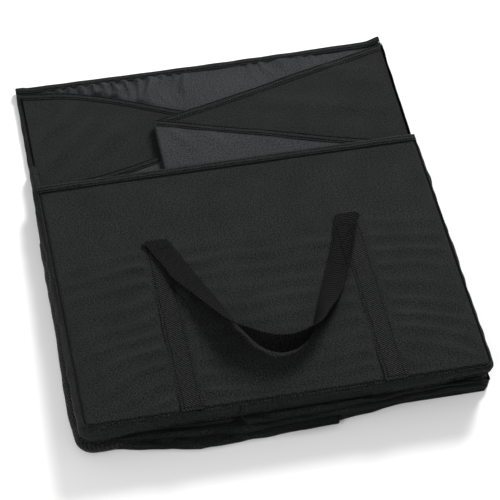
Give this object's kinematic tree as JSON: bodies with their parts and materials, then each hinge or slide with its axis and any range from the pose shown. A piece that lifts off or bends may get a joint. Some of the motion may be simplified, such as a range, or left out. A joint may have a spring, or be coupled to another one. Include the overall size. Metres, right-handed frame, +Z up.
{
  "type": "folding carry bin",
  "caption": "Soft-sided open-top carrying bin, folded flat: tall rear panel, short padded front panel, inward-folding side gussets, pleated bottom and a webbing handle.",
  "frame": {"origin": "centre of the footprint of the folded bin, on the surface that it lies on", "axes": "+X across the width, +Y from the bottom edge towards the open mouth, +Z up, out of the front panel"},
  "size_m": [0.456, 0.5809, 0.0703],
  "materials": {
    "black_polyester": "matt woven polyester",
    "grey_lining": "smooth woven nylon, slight sheen",
    "black_webbing": "ribbed woven webbing",
    "foam": "soft foam, hidden inside",
    "stiff_board": "stiff board, hidden inside"
  },
  "bodies": {
    "rear_panel": {"rear_outer_skin": "black_polyester", "rear_stiffener_board": "stiff_board", "rear_lining": "grey_lining", "rear_edge_tape": "black_polyester", "rear_top_binding": "black_polyester", "rear_right_seam_tape": "black_polyester"},
    "front_panel": {"front_outer_skin": "black_polyester", "front_padding": "foam", "front_lining": "grey_lining", "front_edge_band": "black_polyester", "front_top_binding": "black_polyester", "front_left_seam_tape": "black_polyester", "handle_strap_left": "black_webbing", "handle_strap_right": "black_webbing"},
    "handle": {"handle_loop": "black_webbing"},
    "left_gusset_rear": {"left_gusset_rear_skin": "black_polyester", "left_gusset_rear_lining": "grey_lining", "left_gusset_rear_binding": "black_polyester"},
    "left_gusset_front": {"left_gusset_front_skin": "black_polyester", "left_gusset_front_lining": "grey_lining", "left_gusset_front_binding": "black_polyester"},
    "right_gusset_rear": {"right_gusset_rear_skin": "black_polyester", "right_gusset_rear_lining": "grey_lining", "right_gusset_rear_binding": "black_polyester"},
    "right_gusset_front": {"right_gusset_front_skin": "black_polyester", "right_gusset_front_lining": "grey_lining", "right_gusset_front_binding": "black_polyester"},
    "bottom_pleat_01": {"bottom_pleat_01": "black_polyester"},
    "bottom_pleat_02": {"bottom_pleat_02": "black_polyester"},
    "bottom_pleat_03": {"bottom_pleat_03": "black_polyester"},
    "bottom_pleat_04": {"bottom_pleat_04": "black_polyester"},
    "bottom_pleat_05": {"bottom_pleat_05": "black_polyester"},
    "bottom_pleat_06": {"bottom_pleat_06": "black_polyester"},
    "bottom_pleat_07": {"bottom_pleat_07": "black_polyester"},
    "bottom_pleat_08": {"bottom_pleat_08": "black_polyester"},
    "bottom_pleat_09": {"bottom_pleat_09": "black_polyester"},
    "bottom_pleat_10": {"bottom_pleat_10": "black_polyester"},
    "bottom_pleat_11": {"bottom_pleat_11": "black_polyester"},
    "bottom_pleat_12": {"bottom_pleat_12": "black_polyester"},
    "bottom_pleat_13": {"bottom_pleat_13": "black_polyester"},
    "bottom_pleat_14": {"bottom_pleat_14": "black_polyester"}
  },
  "joints": [
    {"name": "left_rear_seam", "type": "hinge", "parent": "rear_panel", "child": "left_gusset_rear", "pos_m": [-0.224, 0, 0.006], "axis": [0, -1, 0], "range_deg": [0, 88], "deforming": ["left_gusset_rear_skin", "left_gusset_rear_lining", "left_gusset_rear_binding"]},
    {"name": "left_gusset_crease", "type": "hinge", "parent": "left_gusset_rear", "child": "left_gusset_front", "pos_m": [0.074, 0, 0.0091], "axis": [0, 1, 0], "range_deg": [0, 176], "deforming": ["left_gusset_front_skin", "left_gusset_front_lining", "left_gusset_front_binding"]},
    {"name": "left_front_seam", "type": "hinge", "parent": "left_gusset_front", "child": "front_panel", "pos_m": [-0.224, 0, 0.0122], "axis": [0, -1, 0], "range_deg": [0, 88]},
    {"name": "right_rear_seam", "type": "hinge", "parent": "rear_panel", "child": "right_gusset_rear", "pos_m": [0.224, 0, 0.0122], "axis": [0, 1, 0], "range_deg": [0, 88]},
    {"name": "right_gusset_crease", "type": "hinge", "parent": "right_gusset_rear", "child": "right_gusset_front", "pos_m": [-0.074, 0, 0.0153], "axis": [0, -1, 0], "range_deg": [0, 176]},
    {"name": "pleat_fold_01", "type": "hinge", "parent": "rear_panel", "child": "bottom_pleat_01", "pos_m": [0, -0.24807, 0.006], "axis": [-1, 0, 0], "range_deg": [0, 88]},
    {"name": "pleat_fold_02", "type": "hinge", "parent": "bottom_pleat_01", "child": "bottom_pleat_02", "pos_m": [0, -0.29064, 0.00689], "axis": [1, 0, 0], "range_deg": [0, 176]},
    {"name": "pleat_fold_03", "type": "hinge", "parent": "bottom_pleat_02", "child": "bottom_pleat_03", "pos_m": [0, -0.24807, 0.00777], "axis": [-1, 0, 0], "range_deg": [0, 176]},
    {"name": "pleat_fold_04", "type": "hinge", "parent": "bottom_pleat_03", "child": "bottom_pleat_04", "pos_m": [0, -0.29064, 0.00866], "axis": [1, 0, 0], "range_deg": [0, 176]},
    {"name": "pleat_fold_05", "type": "hinge", "parent": "bottom_pleat_04", "child": "bottom_pleat_05", "pos_m": [0, -0.24807, 0.00954], "axis": [-1, 0, 0], "range_deg": [0, 176]},
    {"name": "pleat_fold_06", "type": "hinge", "parent": "bottom_pleat_05", "child": "bottom_pleat_06", "pos_m": [0, -0.29064, 0.01043], "axis": [1, 0, 0], "range_deg": [0, 176]},
    {"name": "pleat_fold_07", "type": "hinge", "parent": "bottom_pleat_06", "child": "bottom_pleat_07", "pos_m": [0, -0.24807, 0.01131], "axis": [-1, 0, 0], "range_deg": [0, 176]},
    {"name": "pleat_fold_08", "type": "hinge", "parent": "bottom_pleat_07", "child": "bottom_pleat_08", "pos_m": [0, -0.29064, 0.0122], "axis": [1, 0, 0], "range_deg": [0, 176]},
    {"name": "pleat_fold_09", "type": "hinge", "parent": "bottom_pleat_08", "child": "bottom_pleat_09", "pos_m": [0, -0.24807, 0.01309], "axis": [-1, 0, 0], "range_deg": [0, 176]},
    {"name": "pleat_fold_10", "type": "hinge", "parent": "bottom_pleat_09", "child": "bottom_pleat_10", "pos_m": [0, -0.29064, 0.01397], "axis": [1, 0, 0], "range_deg": [0, 176]},
    {"name": "pleat_fold_11", "type": "hinge", "parent": "bottom_pleat_10", "child": "bottom_pleat_11", "pos_m": [0, -0.24807, 0.01486], "axis": [-1, 0, 0], "range_deg": [0, 176]},
    {"name": "pleat_fold_12", "type": "hinge", "parent": "bottom_pleat_11", "child": "bottom_pleat_12", "pos_m": [0, -0.29064, 0.01574], "axis": [1, 0, 0], "range_deg": [0, 176]},
    {"name": "pleat_fold_13", "type": "hinge", "parent": "bottom_pleat_12", "child": "bottom_pleat_13", "pos_m": [0, -0.24807, 0.01663], "axis": [-1, 0, 0], "range_deg": [0, 176]},
    {"name": "pleat_fold_14", "type": "hinge", "parent": "bottom_pleat_13", "child": "bottom_pleat_14", "pos_m": [0, -0.29064, 0.01751], "axis": [1, 0, 0], "range_deg": [0, 176]},
    {"name": "handle_swing", "type": "hinge", "parent": "front_panel", "child": "handle", "pos_m": [0, -0.01136, 0.03476], "axis": [-1, 0, 0], "range_deg": [0, 160]}
  ],
  "couplings": [
    {"joint": "left_gusset_crease", "follows": "left_rear_seam", "ratio": 2},
    {"joint": "left_front_seam", "follows": "left_rear_seam", "ratio": 1},
    {"joint": "right_rear_seam", "follows": "left_rear_seam", "ratio": 1},
    {"joint": "right_gusset_crease", "follows": "left_rear_seam", "ratio": 2},
    {"joint": "pleat_fold_01", "follows": "left_rear_seam", "ratio": 1},
    {"joint": "pleat_fold_02", "follows": "left_rear_seam", "ratio": 2},
    {"joint": "pleat_fold_03", "follows": "left_rear_seam", "ratio": 2},
    {"joint": "pleat_fold_04", "follows": "left_rear_seam", "ratio": 2},
    {"joint": "pleat_fold_05", "follows": "left_rear_seam", "ratio": 2},
    {"joint": "pleat_fold_06", "follows": "left_rear_seam", "ratio": 2},
    {"joint": "pleat_fold_07", "follows": "left_rear_seam", "ratio": 2},
    {"joint": "pleat_fold_08", "follows": "left_rear_seam", "ratio": 2},
    {"joint": "pleat_fold_09", "follows": "left_rear_seam", "ratio": 2},
    {"joint": "pleat_fold_10", "follows": "left_rear_seam", "ratio": 2},
    {"joint": "pleat_fold_11", "follows": "left_rear_seam", "ratio": 2},
    {"joint": "pleat_fold_12", "follows": "left_rear_seam", "ratio": 2},
    {"joint": "pleat_fold_13", "follows": "left_rear_seam", "ratio": 2},
    {"joint": "pleat_fold_14", "follows": "left_rear_seam", "ratio": 2}
  ]
}
